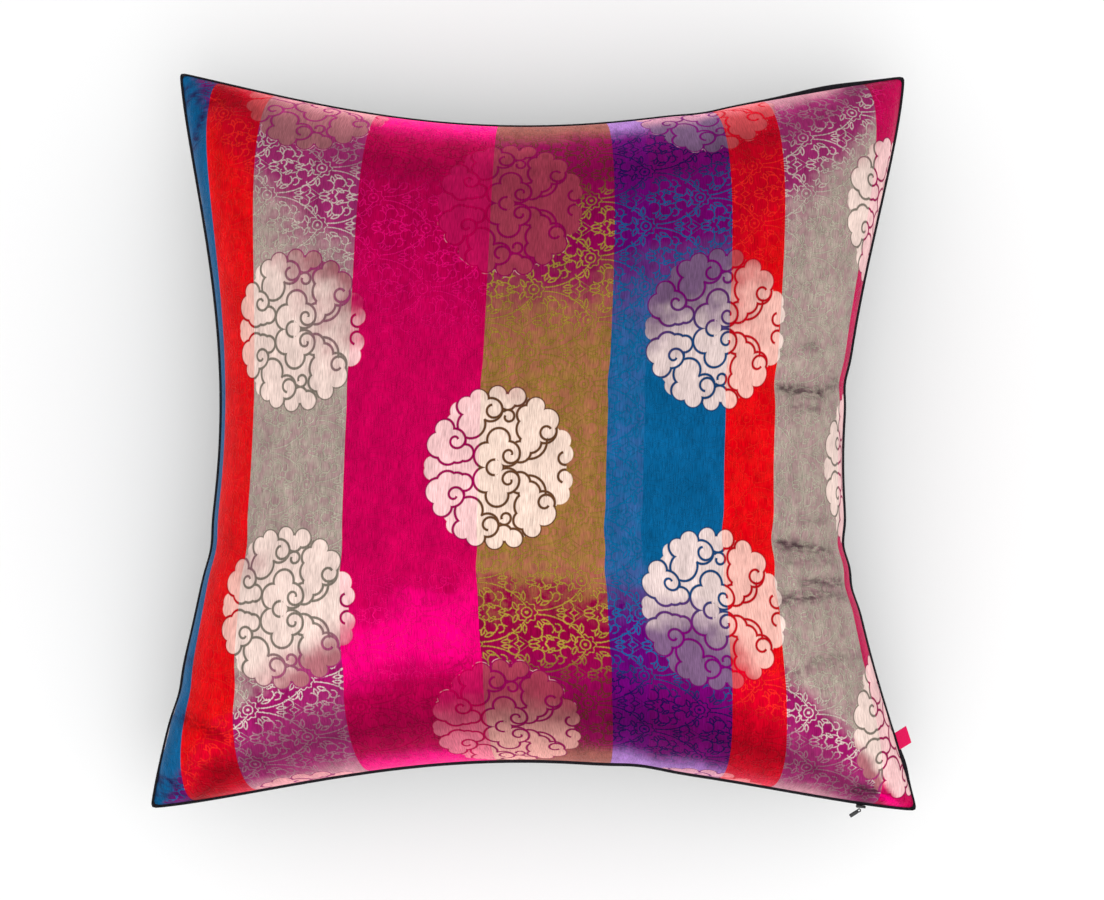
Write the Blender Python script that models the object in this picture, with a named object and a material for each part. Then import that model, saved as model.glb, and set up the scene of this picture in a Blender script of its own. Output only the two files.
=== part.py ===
"""A 45 cm scatter cushion: a brocade front panel sewn to a plain cloth back, filled and zipped.

The cushion lies on its back.  X runs along its width, Y runs up its face and Z runs out of its
face.  The origin is under the middle of the cushion, on the surface that it rests on.
"""
import math

import bpy
import bmesh
import numpy as np

MM = 0.001

# The four ears of the filled cover.
# Columns: right of the middle, up from the middle, how far the ear droops (all mm).
EARS = {
    "bottom_left": (-220.5, -214.0, 13.0),
    "bottom_right": (221.0, -215.5, 11.0),
    "top_left": (-207.0, 214.0, 12.0),
    "top_right": (218.0, 212.5, 14.0),
}

# The four seams, each drawn in by the filling between its two ears.
# Columns: how far it is drawn in (mm), where it is deepest (1 is its middle, less is nearer
# its bottom or left ear), how sharply it dips (1 is an even curve, more leaves longer ears).
SEAMS = {
    "left": (33.0, 1.00, 1.20),
    "right": (41.0, 0.88, 1.30),
    "top": (33.0, 0.92, 1.10),
    "bottom": (28.0, 0.96, 1.30),
}

# Puckers, where a seam is pulled in sharply.
# Columns: seam, distance from its middle (mm), half width (mm), depth (mm).
PUCKERS = (
    ("right", 32.0, 9.0, 1.8),
    ("right", -63.0, 10.0, 3.2),
    ("right", -87.0, 9.0, 2.2),
    ("left", -66.0, 12.0, 1.8),
    ("left", -150.0, 11.0, 1.6),
    ("top", 95.0, 14.0, 1.2),
    ("bottom", 60.0, 16.0, 1.5),
)

# Folds in the front panel, each a soft trough from one point to another.
# Columns: start right, start up, end right, end up, half width, depth (all mm).
FOLDS = (
    (136.0, 23.0, 178.0, 25.0, 8.0, 4.6),
    (136.0, -65.0, 177.0, -64.0, 9.0, 5.6),
    (144.0, -97.0, 182.0, -88.0, 8.0, 4.4),
    (146.0, -136.0, 194.0, -124.0, 9.0, 3.2),
    (176.0, -199.0, 208.0, -197.0, 8.0, 4.6),
    (196.0, -196.0, 213.0, -180.0, 7.0, 3.4),
    (-218.0, -198.0, -192.0, -201.0, 7.0, 3.8),
    (-193.0, -164.0, -164.0, -171.0, 9.0, 3.6),
    (-198.0, -130.0, -184.0, -112.0, 8.0, 2.4),
    (-184.0, -63.0, -156.0, -61.0, 8.0, 2.8),
    (-182.0, 24.0, -156.0, 23.0, 8.0, 2.6),
    (-204.0, 204.0, -188.0, 174.0, 9.0, 2.8),
)

# The filled form.
SEAM_HEIGHT = 78.0 * MM        # the seams' middles above the surface it rests on
FRONT_CROWN = 84.0 * MM        # the face's middle above the seams
BACK_CROWN = 84.5 * MM         # how far the back would bulge if it rested on nothing
RESTING_EASE = 1.5 * MM        # height over which the back turns level as it nears the surface
RESTING_PATCH = 0.46           # share of each half side that lies flat on the surface
RESTING_RISE = 0.30            # share over which the back then rises to its own form
RESTING_SLOPE = 16.0 * MM      # least rise beyond the patch, over a whole half side
ROUNDNESS = 2.6                # 2 is an ellipse from seam to seam, more is boxier
STEEPNESS = 0.5                # how the cloth leaves the seam: 0.5 is upright
SETTLING = 0.07                # how far the filling has sunk towards the bottom edge
EAR_DROOP_POWER = 4            # the droop stays in the ears

# The cloths.
PANEL_THICKNESS = 1.4 * MM     # brocade with its seam allowance's bulk
CLOTH_GAP = 0.3 * MM           # between the two cloths
SEAM_LEDGE = 1.0 * MM          # half the thickness of the back cloth's folded edge
LEDGE_WIDTH = 1.5 * MM         # how far that edge shows beyond the brocade

# The label and the zip's slider and pull.
LABEL_SIZE = (8.0 * MM, 10.0 * MM, 1.2 * MM)
LABEL_PLACE = 0.095            # along the right seam, from 0 at the bottom ear to 1
SLIDER_SIZE = (7.5 * MM, 3.6 * MM, 3.2 * MM)
SLIDER_PLACE = 0.925           # along the bottom seam, from 0 at the left ear to 1
PULL_SIZE = (9.0 * MM, 2.6 * MM, 1.4 * MM)
PULL_TURN = math.radians(205)  # the pull lies down and to the left
TRIM_BEVEL = 0.4 * MM
SPOT_STEP = 0.004              # share of a seam over which its heading is read

# The squares of each layer: lines crowd where the cloth turns fastest, at seams and folds.
CELLS_ACROSS = 34
CELLS_ALONG = 42
SEAM_CROWDING = 0.8            # how much closer the lines lie towards the seams
SEAM_TURN = 0.004              # keeps the spacing at the seam itself from shrinking to nothing
FOLD_CROWDING = 2.4            # how much closer the lines lie at a fold that runs across
FOLD_REACH = 0.05              # half width of that stretch, where the half side is 1
FOLD_START = 0.004             # the folds die away in the last turn of cloth beside the seam
EAR_ZONE = 0.7                 # beyond this the seam's own crowding serves the folds as well
FINE_STEPS = 4001              # how finely the spacing of the lines is worked out
NORMAL_STEP = 0.01             # how far apart the face is read to find which way it faces


def mix(table, column, s, t):
    """One column of the ears' table, blended over the cushion."""
    bottom = table["bottom_left"][column] * (1 - s) + table["bottom_right"][column] * s
    top = table["top_left"][column] * (1 - s) + table["top_right"][column] * s
    return (bottom * (1 - t) + top * t) * MM


def drawn_in(seam, along):
    """How far a seam lies inside the straight line between its ears; along runs from 0 to 1."""
    depth, lean, sharpness = SEAMS[seam]
    inward = depth * np.sin(np.pi * np.clip(along, 0, 1) ** lean) ** sharpness
    length = 2 * abs(EARS["top_right"][0])
    for name, place, half_width, pucker in PUCKERS:
        if name == seam:
            away = ((along - 0.5) * length - place) / half_width
            inward = inward + pucker * np.exp(-away ** 2)
    return inward * MM


def plan(u, v, outset):
    """The place seen from above of the point (u, v), each from -1 to 1 between the seams."""
    s, t = (u + 1) / 2, (v + 1) / 2
    x = mix(EARS, 0, s, t) + outset * u
    x = x + drawn_in("left", t) * (1 - s) - drawn_in("right", t) * s
    y = mix(EARS, 1, s, t) + outset * v
    y = y + drawn_in("bottom", s) * (1 - t) - drawn_in("top", s) * t
    return x, y


def seam_level(u, v):
    """The height of the seams' surface, which droops into the ears."""
    droop = mix(EARS, 2, (u + 1) / 2, (v + 1) / 2)
    return SEAM_HEIGHT - droop * np.abs(u * v) ** EAR_DROOP_POWER


def swell(u, v):
    """How full the cushion is at (u, v): 0 at the seams and 1 at the crown."""
    sunk = v + SETTLING * (1 - v ** 2)
    across = np.clip(1 - np.abs(u) ** ROUNDNESS, 0, 1)
    along = np.clip(1 - np.abs(sunk) ** ROUNDNESS, 0, 1)
    return (across * along) ** STEEPNESS


def front(u, v, outset, base):
    """A layer of the face: base is its height over the seams, outset how far it stands out."""
    x, y = plan(u, v, outset)
    z = seam_level(u, v) + base + (FRONT_CROWN + outset) * swell(u, v)
    return np.stack((x, y, z), axis=-1) + folds(u, v)


def folds(u, v):
    """The shift that the folds give every layer of the face."""
    points = smooth_front(u, v)
    before_u, after_u = np.clip(u - NORMAL_STEP, -1, 1), np.clip(u + NORMAL_STEP, -1, 1)
    before_v, after_v = np.clip(v - NORMAL_STEP, -1, 1), np.clip(v + NORMAL_STEP, -1, 1)
    run = smooth_front(after_u, v) - smooth_front(before_u, v)
    rise = smooth_front(u, after_v) - smooth_front(u, before_v)
    normal = np.cross(run, rise)
    normal /= np.linalg.norm(normal, axis=-1, keepdims=True)
    depth = np.zeros(u.shape)
    for start_x, start_y, end_x, end_y, half_width, deepest in FOLDS:
        start = np.array((start_x, start_y)) * MM
        line = np.array((end_x, end_y)) * MM - start
        offset = points[..., :2] - start
        along = np.clip((offset @ line) / (line @ line), 0, 1)
        away = np.linalg.norm(offset - along[..., None] * line, axis=-1) / (half_width * MM)
        depth += deepest * MM * np.exp(-away ** 2)
    depth *= np.minimum(1, np.minimum(1 - np.abs(u), 1 - np.abs(v)) / FOLD_START)
    return -normal * depth[..., None]


def smooth_front(u, v):
    """The face before its folds."""
    x, y = plan(u, v, 0)
    return np.stack((x, y, seam_level(u, v) + FRONT_CROWN * swell(u, v)), axis=-1)


def back(u, v, outset, base):
    """The back, flattened where it rests on the surface."""
    x, y = plan(u, v, outset)
    z = seam_level(u, v) - base - BACK_CROWN * swell(u, v)
    eased = (z + RESTING_EASE) ** 2 / (4 * RESTING_EASE)
    z = np.where(z > RESTING_EASE, z, np.where(z < -RESTING_EASE, 0, eased))
    beyond_patch = np.maximum(np.maximum(np.abs(u), np.abs(v)) - RESTING_PATCH, 0)
    z = np.maximum(z * np.minimum(beyond_patch / RESTING_RISE, 1), RESTING_SLOPE * beyond_patch)
    return np.stack((x, y, z), axis=-1)


def spaced_lines(cells, fold_places):
    """Lines from -1 to 1 that crowd towards both seams and towards the folds."""
    fine = np.linspace(-1, 1, FINE_STEPS)
    density = 1 + SEAM_CROWDING / np.sqrt(1 + SEAM_TURN - fine ** 2)
    for fold_place in fold_places:
        density += FOLD_CROWDING * np.exp(-((fine - fold_place) / FOLD_REACH) ** 2)
    total = np.concatenate(([0], np.cumsum((density[1:] + density[:-1]) / 2)))
    lines = np.interp(np.linspace(0, total[-1], cells + 1), total, fine)
    lines[0], lines[-1] = -1, 1
    return lines


def grid():
    """Every (u, v) of a layer."""
    half_side = EARS["top_right"][1]
    right_folds = [(row[1] + row[3]) / 2 / half_side for row in FOLDS if row[0] > 0]
    crossing = [fold for fold in right_folds if abs(fold) < EAR_ZONE]
    across = spaced_lines(CELLS_ACROSS, ())
    along = spaced_lines(CELLS_ALONG, crossing)
    return np.meshgrid(across, along, indexing="ij")


class Shell:
    """A closed mesh made of square layers and of the bands that join their rims."""

    def __init__(self):
        self.points = []
        self.faces = []

    def add_points(self, points):
        """Number new points and return their numbers in the same layout."""
        start = sum(len(block) for block in self.points)
        self.points.append(points.reshape(-1, 3))
        return start + np.arange(points[..., 0].size).reshape(points.shape[:-1])

    def add_layer(self, points, facing_up):
        """A square layer of triangles; returns the numbers round its rim."""
        numbers = self.add_points(points)
        corners = numbers[:-1, :-1], numbers[1:, :-1], numbers[1:, 1:], numbers[:-1, 1:]
        for a, b, c, d in zip(*(corner.ravel() for corner in corners)):
            pair = ((a, b, c), (a, c, d))
            self.faces.extend(pair if facing_up else (tri[::-1] for tri in pair))
        return rim(numbers)

    def add_band(self, upper, lower):
        """Triangles between two rims that run the same way round, facing outwards."""
        for here in range(len(upper)):
            after = (here + 1) % len(upper)
            a, b, c, d = upper[here], upper[after], lower[after], lower[here]
            self.faces.extend(((a, c, b), (a, d, c)))

    def mesh(self, name):
        data = bpy.data.meshes.new(name)
        faces = [tuple(int(number) for number in face) for face in self.faces]
        data.from_pydata(np.concatenate(self.points).tolist(), [], faces)
        return data


def rim(layer):
    """The border of a square layer, in order, anticlockwise seen from above."""
    return np.concatenate((layer[:-1, 0], layer[-1, :-1], layer[:0:-1, -1], layer[0, :0:-1]))


def material(name, colour, roughness, metallic=0.0):
    finish = bpy.data.materials.new(name)
    finish.use_nodes = True
    shader = finish.node_tree.nodes["Principled BSDF"]
    shader.inputs["Base Color"].default_value = (*colour, 1.0)
    shader.inputs["Roughness"].default_value = roughness
    shader.inputs["Metallic"].default_value = metallic
    return finish


def place(name, data, finish):
    piece = bpy.data.objects.new(name, data)
    bpy.context.scene.collection.objects.link(piece)
    data.materials.append(finish)
    return piece


def filled_cushion():
    """The filling in its cloth: a crowned back, a folded edge, and the face's body within."""
    u, v = grid()
    shell = Shell()
    inset = -(PANEL_THICKNESS + CLOTH_GAP)
    face_rim = shell.add_layer(front(u, v, inset, SEAM_LEDGE), True)
    back_layer = back(u, v, LEDGE_WIDTH, SEAM_LEDGE)
    back_rim = shell.add_layer(back_layer, False)
    edge = rim_points(back_layer)
    edge[:, 2] = rim_points(front(u, v, inset, SEAM_LEDGE))[:, 2]
    ledge_rim = shell.add_points(edge)
    shell.add_band(face_rim, ledge_rim)
    shell.add_band(ledge_rim, back_rim)
    finish = material("back cloth", (0.010, 0.009, 0.012), 0.75)
    return place("filled_cushion", shell.mesh("filled_cushion"), finish)


def rim_points(layer):
    """The border points of a square layer of coordinates."""
    numbers = rim(np.arange(layer[..., 0].size).reshape(layer.shape[:-1]))
    return layer.reshape(-1, 3)[numbers]


def front_panel():
    """The brocade sheet over the crown, standing on the back cloth's folded edge."""
    u, v = grid()
    base = SEAM_LEDGE + CLOTH_GAP
    shell = Shell()
    outer = front(u, v, 0, base + PANEL_THICKNESS)
    outer_rim = shell.add_layer(outer, True)
    inner = front(u, v, -PANEL_THICKNESS, base)
    inner_rim = shell.add_layer(inner, False)
    hem = rim_points(outer)
    hem[:, 2] = rim_points(inner)[:, 2]
    hem_rim = shell.add_points(hem)
    shell.add_band(outer_rim, hem_rim)
    shell.add_band(hem_rim, inner_rim)
    finish = material("brocade", (0.42, 0.012, 0.085), 0.42)
    return place("front_panel", shell.mesh("front_panel"), finish)


def block(name, size, finish):
    """A small block with eased edges, its length along X."""
    mesh = bmesh.new()
    bmesh.ops.create_cube(mesh, size=1)
    bmesh.ops.scale(mesh, vec=size, verts=mesh.verts)
    bmesh.ops.bevel(mesh, geom=mesh.edges[:], offset=TRIM_BEVEL, segments=1, affect="EDGES")
    data = bpy.data.meshes.new(name)
    mesh.to_mesh(data)
    mesh.free()
    return place(name, data, finish)


def seam_spot(seam, along):
    """A point on the folded edge of the right or the bottom seam, and the heading out of it."""
    def spot(share):
        travel = share * 2 - 1
        u, v = (1.0, travel) if seam == "right" else (travel, -1.0)
        x, y = plan(u, v, LEDGE_WIDTH)
        return np.array((x, y, seam_level(u, v)))

    run = spot(along + SPOT_STEP) - spot(along - SPOT_STEP)
    return spot(along), math.atan2(-run[0], run[1])


def aside(heading, distance):
    """A level step in a heading."""
    return distance * np.array((math.cos(heading), math.sin(heading), 0))


def side_label():
    """A folded tape label, bare, caught in the right seam near the bottom ear."""
    spot, heading = seam_spot("right", LABEL_PLACE)
    piece = block("side_label", LABEL_SIZE, material("label tape", (0.60, 0.012, 0.10), 0.55))
    piece.location = spot + aside(heading, LABEL_SIZE[0] / 2 + CLOTH_GAP)
    piece.rotation_euler = (0, 0, heading)
    return piece


def zip_parts():
    """The zip's slider against the bottom seam, and the pull that hangs from it."""
    spot, heading = seam_spot("bottom", SLIDER_PLACE)
    enamel = material("zip enamel", (0.012, 0.012, 0.014), 0.35, 0.6)
    slider = block("zip_slider", SLIDER_SIZE, enamel)
    slider.location = spot + aside(heading, SLIDER_SIZE[1] / 2 + CLOTH_GAP)
    slider.rotation_euler = (0, 0, heading + math.pi / 2)
    pull = block("zip_pull", PULL_SIZE, enamel)
    corner = PULL_SIZE[1] / 2 * abs(math.sin(PULL_TURN - heading))
    hinge = spot + aside(heading, SLIDER_SIZE[1] + 2 * CLOTH_GAP + corner)
    pull.location = hinge + aside(PULL_TURN, PULL_SIZE[0] / 2)
    pull.rotation_euler = (0, 0, PULL_TURN)
    return slider, pull


def centre(pieces):
    """Move the whole cushion so that the origin is under the middle of its outer box."""
    bpy.context.view_layer.update()
    corners = [piece.matrix_world @ vertex.co for piece in pieces for vertex in piece.data.vertices]
    corners = np.array(corners)
    middle = (corners.min(axis=0) + corners.max(axis=0)) / 2
    for piece in pieces:
        piece.location.x -= middle[0]
        piece.location.y -= middle[1]


def build():
    for old in list(bpy.data.objects):
        bpy.data.objects.remove(old)
    centre([filled_cushion(), front_panel(), side_label(), *zip_parts()])


build()
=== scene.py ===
"""A 45 cm cushion with a striped brocade face, a black cloth back, a side label and a zip pull."""
import math

import bpy
import numpy as np
from mathutils import Matrix, Vector


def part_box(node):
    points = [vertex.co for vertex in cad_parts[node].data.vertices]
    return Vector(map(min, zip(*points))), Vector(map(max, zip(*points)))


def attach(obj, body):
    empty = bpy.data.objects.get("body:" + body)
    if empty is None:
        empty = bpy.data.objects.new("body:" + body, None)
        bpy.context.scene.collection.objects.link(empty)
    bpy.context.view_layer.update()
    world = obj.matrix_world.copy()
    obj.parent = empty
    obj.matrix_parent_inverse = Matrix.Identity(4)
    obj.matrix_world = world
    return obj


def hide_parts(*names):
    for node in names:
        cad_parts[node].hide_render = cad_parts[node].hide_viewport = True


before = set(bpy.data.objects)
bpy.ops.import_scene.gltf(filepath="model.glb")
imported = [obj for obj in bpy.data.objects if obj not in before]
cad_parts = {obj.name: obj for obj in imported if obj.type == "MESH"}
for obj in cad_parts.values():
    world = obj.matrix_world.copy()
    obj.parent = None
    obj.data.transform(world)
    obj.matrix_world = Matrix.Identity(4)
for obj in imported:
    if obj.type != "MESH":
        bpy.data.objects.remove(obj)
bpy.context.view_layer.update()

MM = 0.001

# The cover as cut, laid flat.
CUT = 450 * MM
# Each ear of the filled cover, in mm: its place from the cushion's middle and how far it droops.
EARS = {
    "bottom_left": (-220.5, -214.0, 13.0),
    "bottom_right": (221.0, -215.5, 11.0),
    "top_left": (-207.0, 214.0, 12.0),
    "top_right": (218.0, 212.5, 14.0),
}
EAR_DROOP_POWER = 4
# Each seam: how far its middle is drawn in, in mm; which end the deepest point is nearer to, the left
# or the bottom one below 1; and how much the drawing in keeps to the middle.
SEAMS = {
    "left": (33.0, 1.00, 1.20),
    "right": (41.0, 0.88, 1.30),
    "top": (33.0, 0.92, 1.10),
    "bottom": (28.0, 0.96, 1.30),
}
# Dents in the seams: the place along the seam from its middle, the half width and the depth, in mm.
PUCKERS = (
    ("right", 32.0, 9.0, 1.8),
    ("right", -63.0, 10.0, 3.2),
    ("right", -87.0, 9.0, 2.2),
    ("left", -66.0, 12.0, 1.8),
    ("left", -150.0, 11.0, 1.6),
    ("top", 95.0, 14.0, 1.2),
    ("bottom", 60.0, 16.0, 1.5),
)
# Where more of the back shows beyond a seam: place along it, half width and how much, in mm.
BACK_SHOWS = (("top", 167.0, 24.0, 2.0), ("right", -188.0, 9.0, 1.8))
BACK_SHOWS_POWER = 8
# How the seams gather the cloth: its shift to the right, in mm, and the share drawn in to the middle.
GATHERS = {"top": (0.0, 0.11), "bottom": (6.2, 0.10)}
GATHER_POWER = 1.5

# The filled form: where the seam and the crowns are, and how the cover swells between them.
SEAM_HEIGHT = 78.0 * MM
FRONT_CROWN = 84.0 * MM
BACK_CROWN = 84.5 * MM
ROUNDNESS = 2.6
STEEPNESS = 0.5
SETTLING = 0.07
# The black back comes round the seam as a ledge, and the face and the filling under it start on that.
SEAM_LEDGE = 1.0 * MM
LEDGE_WIDTH = 2.1 * MM
PANEL_THICKNESS = 1.2 * MM
PANEL_BASE = SEAM_LEDGE + 0.3 * MM
UNDER_PANEL = 3.4 * MM

# How the flat cloth is laid on the form: lines measured across it, and rounds of correction.
FORM_LINES = 301
LAYING_ROUNDS = 40
# The cloth simulation: cells along a side, frames, how much larger than cut the cloth may grow, how far
# a point may move, and how far from a seam the movement is whole.
CELLS = 90
FRAMES = 25
CLOTH_EASE = 1.03
FURTHEST = 8 * MM
SEAM_REACH = 55 * MM
CLOTH = {
    "quality": 6, "mass": 0.15, "air_damping": 6, "vertex_group_mass": "seam",
    "tension_stiffness": 40, "compression_stiffness": 40, "shear_stiffness": 12, "bending_stiffness": 0.25,
    "tension_damping": 12, "compression_damping": 12, "shear_damping": 12, "bending_damping": 1,
    "use_pressure": True, "uniform_pressure_force": 2.5,
}

# Creases pressed into the face: start, end, half width and depth, in mm seen from above, and how dark
# the painted shade along them is.
FOLDS = (
    # Beside the right seam, from above its middle down to the ear.
    (138, 23, 161, 22, 4.5, 2.6, 0.9), (161, 22, 173, 29, 4.5, 2.2, 0.6),
    (145, 13, 160, 13, 4.0, 1.2, 0.5), (166, 36, 172, 30, 4.0, 1.6, 0.4),
    (153, 48, 158, 48, 5.0, 0.6, 0.4), (137, -63, 150, -65, 5.0, 3.0, 1.0),
    (150, -65, 166, -67, 4.5, 2.6, 0.7), (137, -73, 169, -73, 4.0, 1.4, 0.35),
    (148, -50, 162, -50, 5.0, 0.8, 0.35), (152, -85, 173, -85, 4.5, 2.6, 0.8),
    (156, -91, 174, -92, 4.0, 1.8, 0.6), (138, -94, 160, -93, 4.5, 1.8, 0.8),
    (145, -136, 162, -127, 5.0, 2.0, 0.4), (162, -127, 184, -127, 5.0, 2.4, 0.35),
    (184, -203, 203, -205, 4.5, 3.6, 1.0), (190, -190, 206, -187, 5.0, 2.2, 0.2),
    (203, -196, 213, -180, 6.0, 2.6, 0.3),
    # In the bottom left ear, and up beside the left seam.
    (-221, -198, -205, -200, 4.5, 3.4, 1.0), (-219, -207, -202, -207, 3.5, 1.5, 0.7),
    (-199, -162, -176, -171, 6.0, 3.0, 0.8), (-193, -194, -177, -190, 9.0, 1.5, 0.5),
    (-205, -130, -196, -129, 5.0, 2.0, 0.5), (-210, -160, -202, -160, 5.0, 1.8, 0.5),
    (-184, -63, -160, -61, 7.0, 2.0, 0.2), (-182, 24, -160, 23, 7.0, 1.8, 0.2),
    # In the two top ears.
    (-207, 194, -197, 201, 3.5, 1.6, 0.9), (-196, 195, -193, 201, 3.5, 1.2, 0.8),
    (-198, 169, -190, 192, 4.5, 2.8, 0.9), (-206, 204, -199, 207, 3.0, 1.2, 0.7),
    (-187, 195, -173, 193, 7.0, 1.6, 0.6), (176, 200, 196, 207, 4.0, 1.8, 0.3),
)
# How wide the painted shade of a crease is beside the crease itself.
CREASE_SHADE_WIDTH = 0.7

# What the colours painted by slope, the weft's shift with its painted sheen and shade, take of the
# creases' slope, and how much calmer they are on the side walls and in the ears.
CREASE_SHARE = 0.12
SIDE_CALM = 1.3
EAR_CALM = 0.85
EAR_REACH = 30 * MM

# The small pieces in the seams, in mm, each at its share of the way along a seam. A step of the label's
# tape is outwards and up, and a block is its size, its place and the rounding of its edges.
SEAM_TUCK = 0.3
LABEL_PLACE = 0.095
# The label: the first step of its tape, its width, how far outside the seam it starts, and its rise for
# each step outwards.
LABEL_START = (1.0, 10, 0.1)
LABEL_RISE = 0.25
LABEL_STEPS = (
    (2.2, 0.05), (2.2, -0.05), (1.8, -0.05), (0.4, -0.12), (0.15, -0.2),
    (-0.15, -0.2), (-0.4, -0.12), (-1.8, 0.0), (-2.2, 0.05), (-2.2, 0.0),
)
TAPE_THICKNESS = 0.3
TAPE_EDGE = 0.08
SLIDER_PLACE = 0.925
SLIDER = ((5.6, 2.2, 2.0), (0, 0, -0.4), 0.5)
# Where the slider's nose begins, and its share of the slider's width.
SLIDER_NOSE = (1.5, 0.72)
BRIDGE = ((4.0, 1.0, 0.8), (-0.2, 0, 1.2), 0.3)
PULL = ((5.6, 2.2, 1.0), (4.5, 0, 0), 0.45)
# The eye's place, its ring's radius and its wire's.
PULL_EYE = (1.0, 0.85, 0.36)
PULL_STEP = 0.7
PULL_TURN = math.radians(212)

# The brocade's stripes: where each begins, in mm from the left seam, and its dye.
STRIPES = (
    (0, "teal"), (20, "red"), (53, "grey"), (117, "magenta"), (195, "olive"),
    (267, "violet"), (287, "teal"), (334, "red"), (367, "grey"), (426, "magenta"),
)
DYES = ("teal", "violet", "red", "grey", "magenta", "olive")
# Each row gives one state of the cloth its colour in every stripe; the states past flat paint in the light
# and shade that the slopes take. The ground, flat to the eye, sloping (the weft's colour with a painted
# sheen), and a painted highlight where the magenta weft catches the light; the figure, flat, with a painted
# highlight on a slope, and painted shade on a steeper one; both with a painted sheen at the cushion's steep
# edge. A roundel's cream, flat, dulled on a slope (the weft's colour with painted shade), and a painted
# rosy sheen at the edge, and the lines inside it. Last, the painted shade down in a crease.
COLOURS = {
    "ground": ("095e92", "305e98", "e40112", "ac8d8c", "cc0153", "ab6a4c"),
    "sloping": ("74046a", "6c0470", "cc0120", "a02c6c", "b8004a", "920652"),
    "glow": ("620460", "5a0466", "d20122", "94145e", "ee0074", "8a043a"),
    "figure": ("0d6297", "07699c", "f01816", "b8b09e", "d20458", "987a30"),
    "lit": ("0a5a96", "0a5a96", "f02420", "d4beb8", "e80a70", "ae9238"),
    "deep": ("1c0c56", "1c0c56", "c0021e", "a87084", "aa0042", "6e2c26"),
    "edge": ("a070b8", "a070b8", "d41c3c", "c48494", "f4007e", "98544c"),
    "cream": ("e6d0cc", "e6d0cc", "f8beb2", "f4dad0", "fccccc", "f8dccc"),
    "dull": ("745678", "725678", "c4464c", "a8666e", "c01056", "a23a50"),
    "rose_sheen": ("d090a4", "d090a4", "e4747c", "e298a0", "e4748c", "dc9c94"),
    "line": ("16406f", "16406f", "bb0a18", "80766b", "9c0250", "644028"),
    "creased": ("280a48", "280a48", "86000c", "402632", "8c0040", "503020"),
}
# Where each state begins and is complete, by how far the cloth leans towards the cushion's top, and
# towards its bottom, so that the painted sheen and shade follow the slope. The painted glow is there on
# the slopes to the bottom alone, rises and fades again.
STATES = {
    "shot": ((0.06, 0.26), (0.06, 0.25)),
    "dulled": ((0.03, 0.15), (0.10, 0.24)),
    "deep": ((0.36, 0.52), (0.28, 0.46)),
    "edge": ((0.68, 0.88), (0.76, 0.93)),
    "rosy_sheen": ((0.76, 0.95), (0.48, 0.78)),
}
GLOW = ((-0.44, -0.27), (-0.20, -0.12))
# How the colours are blended: what is coloured, the state that does it, the row that the first blend
# starts from, and the row that it leads to.
BLENDS = (
    ("ground", "shot", "ground", "sloping"), ("ground", "glow", None, "glow"),
    ("ground", "edge", None, "edge"),
    ("figure", "shot", "figure", "lit"), ("figure", "deep", None, "deep"), ("figure", "edge", None, "edge"),
    ("cream", "dulled", "cream", "dull"), ("cream", "rosy_sheen", None, "rose_sheen"),
    ("ink", "dulled", "line", "sloping"),
)
# Painted sheen and shade: how bright the satin's colour is painted, by how far it leans towards the
# cushion's top (1) or bottom (-1).
PAINTED_GLOSS = (
    (-0.98, 1.50), (-0.86, 1.05), (-0.62, 0.62), (-0.30, 1.25), (0.0, 1.0),
    (0.30, 0.88), (0.55, 0.78), (0.80, 1.45), (0.97, 1.95),
)
BRIGHTNESS = 1.70

# The brocade's noises, each with the size of its patches or streaks in mm, and the range that it takes
# and gives. Real threads are a quarter as wide as these, which still show.
SHOT_PATCH, SHOT_STRENGTH = 38, 0.2
WEAR_PATCH, WEAR_STRENGTH = 1 / 0.9, 0.9
MOTTLE_PATCH, MOTTLE_RANGE = 1 / 0.13, (0.42, 0.62, 0, 0.65)
THREAD, THREAD_RANGE = (0.5, 1 / 0.16), (0.25, 0.75, 0.68, 1.32)
# The next two break up painted light: the shade painted into the creases, and the painted sheen.
CREASE_SHADE_PATCH, CREASE_SHADE_PATCH_RANGE = (1 / 0.16, 1 / 0.4), (0.38, 0.58, 0.2, 1.0)
SHEEN, SHEEN_RANGE = (9, 26), (0.3, 0.7, 0.86, 1.14)
RIM_PATCH, RIM_RANGE = 1 / 0.22, (0.50, 0.60, 0, 0.7)
# The plain black cotton and the tape, in mm. Threads of such cotton are half as wide as these, and ribs
# of such tape a third, which would not show.
WEAVE_SPACING = 0.748
LINT_SIZE = 1 / 0.7
RIB_SPACING = 0.628
TAPE_WEAR = 1 / 1.2
ENAMEL_WEAR = 1 / 1.6
# How fast a woven edge turns from one colour to the other, per mm.
EDGE_TURN = 2.2
# How much of a crease's painted shade a roundel is spared.
ROUNDEL_SPARED = 0.6

# The roundel's upper half about its middle, in mm; the lower half is its mirror image. Each cloud is
# a heap of circles (x, y, radius), and a cloud further down the list lies under those above it.
CLOUDS = (
    ((0, 16.2, 6.7), (5.5, 7.9, 7.4), (-6.6, 7.0, 7.6), (-1.5, 0, 5)),
    ((-35, 13.6, 7.8), (-32.4, 22.6, 5.9), (-26.6, 15.6, 7.2), (-29.6, 8.2, 6.4), (-24, 8.4, 5.6),
     (-19.4, 8.6, 4.9)),
    ((-19.6, 36.0, 5.9), (-12.4, 40.2, 5.9), (-5.2, 33.6, 6.8), (-16.4, 25.2, 8.2), (-12.6, 32, 6.0)),
    ((21.4, 35.4, 5.8), (28.4, 27.2, 7.3), (15.8, 30.6, 5.6), (18.4, 22.4, 8.0), (27.3, 20.7, 6.8),
     (19.0, 14.6, 6.4), (13.2, 9.0, 6.2), (22, 29, 6.0)),
    ((-1.2, 42.4, 5.7), (10.2, 41.4, 5.7), (4.6, 38.4, 5.0)),
)
RIM_LOBES = ((38.4, 7.6, 6.0), (36.6, 15.4, 6.2), (-38.6, 2.0, 5.0), (-24, 33, 5.4))
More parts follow.
